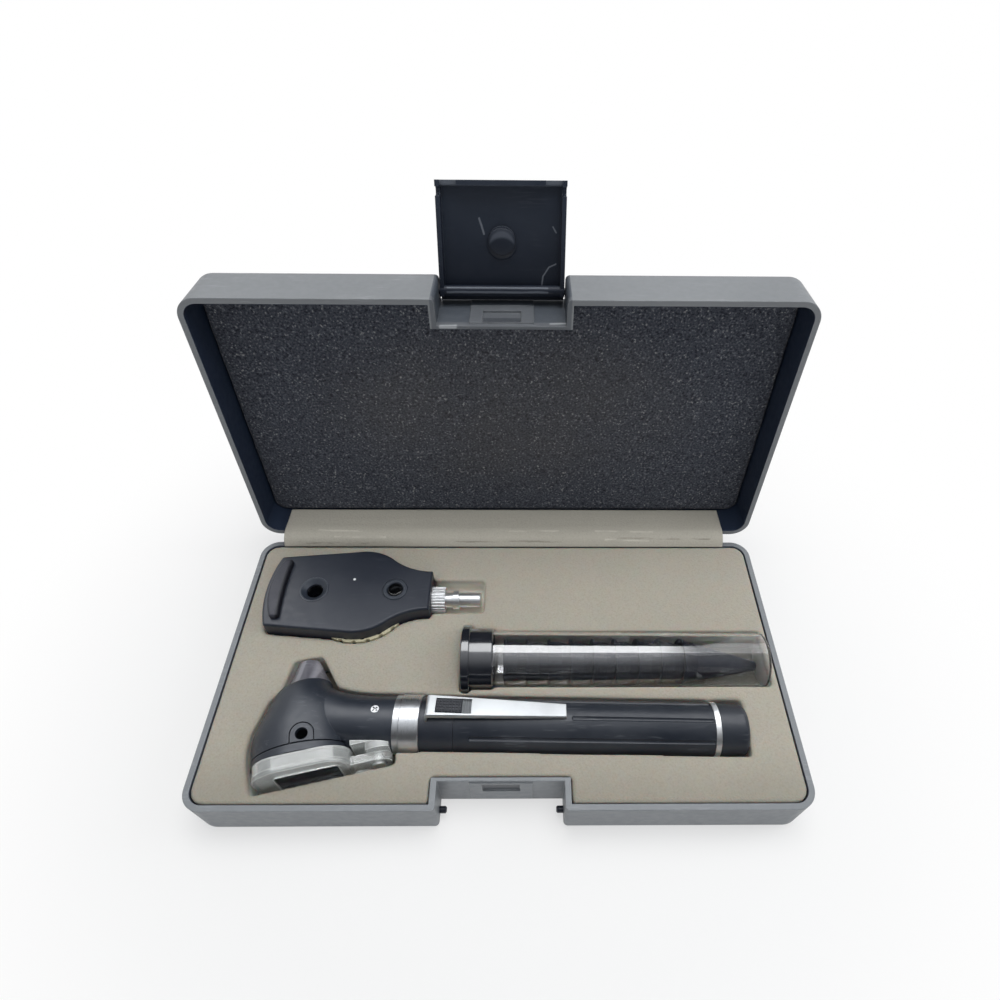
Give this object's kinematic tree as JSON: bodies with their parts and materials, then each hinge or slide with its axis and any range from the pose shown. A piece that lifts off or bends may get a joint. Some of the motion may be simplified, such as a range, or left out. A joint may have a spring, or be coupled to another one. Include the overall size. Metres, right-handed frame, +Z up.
{
  "type": "otoscope carry case",
  "caption": "Hinged pocket case that holds a battery otoscope, an ophthalmoscope head and a tube of ear specula in fitted foam.",
  "frame": {"origin": "centre of the base's underside, on the surface that the case rests on", "axes": "+X to the viewer's right along the case, +Y from the latch to the hinge, +Z up"},
  "size_m": [0.205, 0.1508, 0.1529],
  "materials": {
    "case_grey": "moulded grey, faint orange peel",
    "pin_steel": "plain turned steel",
    "bright_metal": "nickel plated, polished",
    "black_plastic": "black, satin moulded",
    "soft_rubber": "black, dull",
    "cream_plastic": "cream, moulded",
    "cone_plastic": "grey, satin",
    "clear_plastic": "clear moulded plastic",
    "clear_glass": "polished clear glass",
    "mirror_glass": "front silvered",
    "fibre_plastic": "clear fibres, polished ends",
    "barrel_grey": "dark grey, satin",
    "slider_grey": "grey, ribbed",
    "cell_jacket": "plain battery jacket",
    "contact_brass": "plated contact",
    "tray_foam": "grey beige, fine open-cell foam",
    "base_foam": "grey beige foam sheet",
    "lid_foam": "charcoal open-cell foam",
    "flap_cloth": "beige, thin backed cloth"
  },
  "bodies": {
    "base": {"base_shell": "case_grey", "catch_pins": "black_plastic", "hinge_pin_left": "pin_steel", "hinge_pin_right": "pin_steel", "foam_tray": "tray_foam", "foam_sheet": "base_foam", "hinge_flap": "flap_cloth"},
    "lid": {"lid_shell": "case_grey", "latch_pivot_pins": "black_plastic", "lid_foam": "lid_foam"},
    "latch": {"latch": "case_grey"},
    "ophthalmoscope": {"scope_front_shell": "black_plastic", "scope_rear_shell": "black_plastic", "scope_brow_rest": "soft_rubber", "scope_eyepiece_ring": "black_plastic", "scope_eyepiece_glass": "clear_glass", "scope_dioptre_bezel": "black_plastic", "scope_dioptre_lens": "clear_plastic", "scope_wheel_axle": "pin_steel", "scope_plug_collar": "bright_metal", "scope_plug": "bright_metal", "scope_lamp": "clear_glass", "scope_mirror": "mirror_glass", "scope_mirror_carrier": "black_plastic", "scope_patient_window": "clear_glass", "scope_shell_screws": "bright_metal"},
    "lens_wheel": {"scope_lens_wheel": "cream_plastic", "scope_wheel_lenses": "clear_glass"},
    "otoscope": {"otoscope_head": "black_plastic", "specula_mount": "cone_plastic", "insufflation_port": "black_plastic", "eyepiece_rim": "black_plastic", "neck_screw": "bright_metal", "light_guide": "fibre_plastic", "head_lamp": "clear_glass", "lamp_socket": "black_plastic", "magnifier_bracket": "clear_plastic", "magnifier_pivot": "bright_metal", "neck_ring": "bright_metal", "handle_collar": "bright_metal", "switch_housing": "black_plastic", "handle_barrel": "barrel_grey", "pocket_clip": "bright_metal", "switch_guide": "slider_grey", "tail_ring": "bright_metal", "battery_front": "cell_jacket", "battery_rear": "cell_jacket", "battery_spring": "pin_steel", "front_contact": "contact_brass"},
    "magnifier": {"magnifier_frame": "clear_plastic", "magnifier_lens": "clear_glass"},
    "switch": {"switch_slider": "black_plastic"},
    "handle_cap": {"end_cap": "barrel_grey"},
    "specula_holder": {"specula_tube": "clear_plastic", "specula": "black_plastic"},
    "specula_cap": {"specula_tube_cap": "black_plastic"}
  },
  "joints": [
    {"name": "lid_hinge", "type": "hinge", "parent": "base", "child": "lid", "pos_m": [0, 0.0559, 0.0186], "axis": [-1, 0, 0], "range_deg": [-95, 0], "deforming": ["hinge_flap"]},
    {"name": "latch_pivot", "type": "hinge", "parent": "lid", "child": "latch", "pos_m": [0, 0.08038, 0.12176], "axis": [-1, 0, 0], "range_deg": [-108, 0]},
    {"name": "ophthalmoscope_lift", "type": "slide", "parent": "base", "child": "ophthalmoscope", "axis": [0, 0, 1], "range_m": [0, 0.06]},
    {"name": "otoscope_lift", "type": "slide", "parent": "base", "child": "otoscope", "axis": [0, 0, 1], "range_m": [0, 0.06]},
    {"name": "specula_lift", "type": "slide", "parent": "base", "child": "specula_holder", "axis": [0, 0, 1], "range_m": [0, 0.06]},
    {"name": "lens_wheel_turn", "type": "hinge", "parent": "ophthalmoscope", "child": "lens_wheel", "pos_m": [-0.057, 0.0261, 0.0178], "axis": [0, 0, 1], "continuous": true},
    {"name": "magnifier_swivel", "type": "hinge", "parent": "otoscope", "child": "magnifier", "pos_m": [-0.04161, -0.03543, 0.016], "axis": [-0.2147, 0.9767, 0], "range_deg": [0, 80]},
    {"name": "switch_slide", "type": "slide", "parent": "otoscope", "child": "switch", "axis": [0.9989, -0.0266, -0.0394], "range_m": [0, 0.003]},
    {"name": "handle_cap_turn", "type": "hinge", "parent": "otoscope", "child": "handle_cap", "pos_m": [0.07858, -0.02656, 0.016], "axis": [0.9998, -0.0192, 0], "continuous": true},
    {"name": "specula_cap_turn", "type": "hinge", "parent": "specula_holder", "child": "specula_cap", "pos_m": [-0.013, -0.0003, 0.0167], "axis": [1, 0, 0], "continuous": true}
  ]
}
